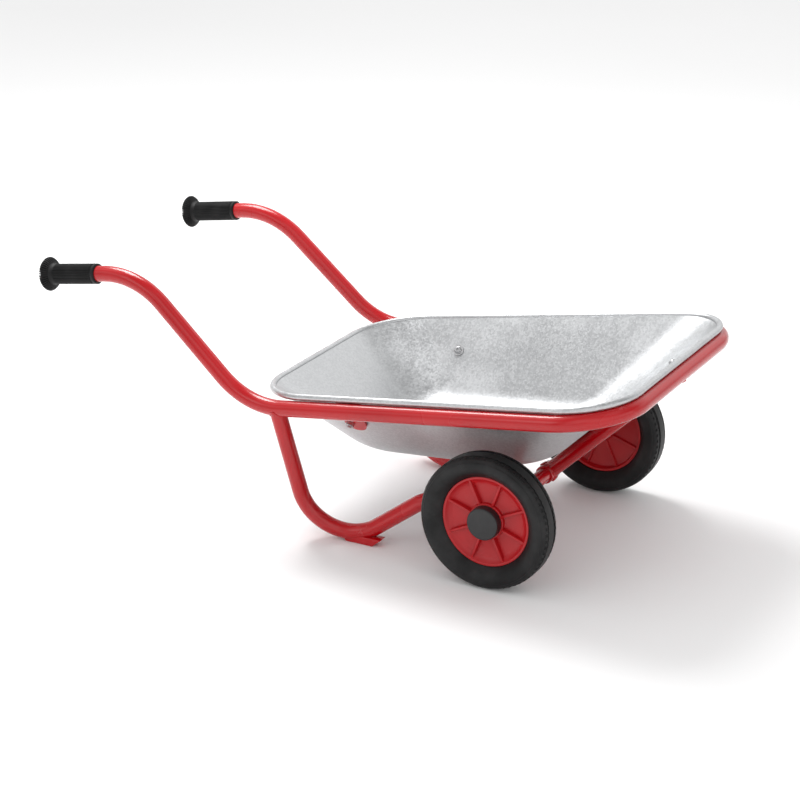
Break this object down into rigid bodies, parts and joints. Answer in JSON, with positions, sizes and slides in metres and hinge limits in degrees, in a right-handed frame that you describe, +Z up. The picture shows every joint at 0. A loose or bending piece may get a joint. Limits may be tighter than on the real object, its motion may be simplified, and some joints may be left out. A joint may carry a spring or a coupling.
{
  "type": "wheelbarrow",
  "caption": "Child's two-wheeled wheelbarrow: rounded galvanised tray in a bent tube frame, with rubber grips and wheels that spin freely.",
  "frame": {"origin": "on the floor, under the middle of the barrow's length and width", "axes": "+X forward, away from the handles; +Y to the left, along the axle; +Z up"},
  "size_m": [0.8733, 0.442, 0.34],
  "materials": {
    "galvanised": "galvanised sheet, fine spangle, satin",
    "powder_coat": "gloss powder coat",
    "zinc_steel": "bright zinc plate",
    "rim_plastic": "semi-gloss moulded plastic",
    "cap_plastic": "satin moulded plastic",
    "bush_plastic": "plain moulded plastic",
    "tyre_rubber": "matt rubber",
    "grip_rubber": "matt ribbed rubber"
  },
  "bodies": {
    "frame": {"tray": "galvanised", "frame_hoop": "powder_coat", "left_leg": "powder_coat", "right_leg": "powder_coat", "left_foot_pad": "powder_coat", "right_foot_pad": "powder_coat", "axle_tube": "powder_coat", "axle_rod": "zinc_steel", "front_stay": "powder_coat", "stay_collar": "powder_coat", "collar_screw": "zinc_steel", "left_side_tab": "powder_coat", "right_side_tab": "powder_coat", "left_front_tab": "powder_coat", "right_front_tab": "powder_coat", "tray_screws": "zinc_steel", "tray_washers": "zinc_steel", "tray_nuts": "zinc_steel", "left_grip": "grip_rubber", "right_grip": "grip_rubber", "left_inner_washer": "zinc_steel", "right_inner_washer": "zinc_steel", "left_outer_washer": "zinc_steel", "right_outer_washer": "zinc_steel", "left_axle_clip": "zinc_steel", "right_axle_clip": "zinc_steel"},
    "left_wheel": {"left_tyre": "tyre_rubber", "left_rim": "rim_plastic", "left_inner_bush": "bush_plastic", "left_outer_bush": "bush_plastic", "left_hub_cap": "cap_plastic"},
    "right_wheel": {"right_tyre": "tyre_rubber", "right_rim": "rim_plastic", "right_inner_bush": "bush_plastic", "right_outer_bush": "bush_plastic", "right_hub_cap": "cap_plastic"}
  },
  "joints": [
    {"name": "left_wheel_spin", "type": "hinge", "parent": "frame", "child": "left_wheel", "pos_m": [0.24349, 0.18, 0.09], "axis": [0, 1, 0], "continuous": true},
    {"name": "right_wheel_spin", "type": "hinge", "parent": "frame", "child": "right_wheel", "pos_m": [0.24349, -0.18, 0.09], "axis": [0, 1, 0], "continuous": true}
  ]
}
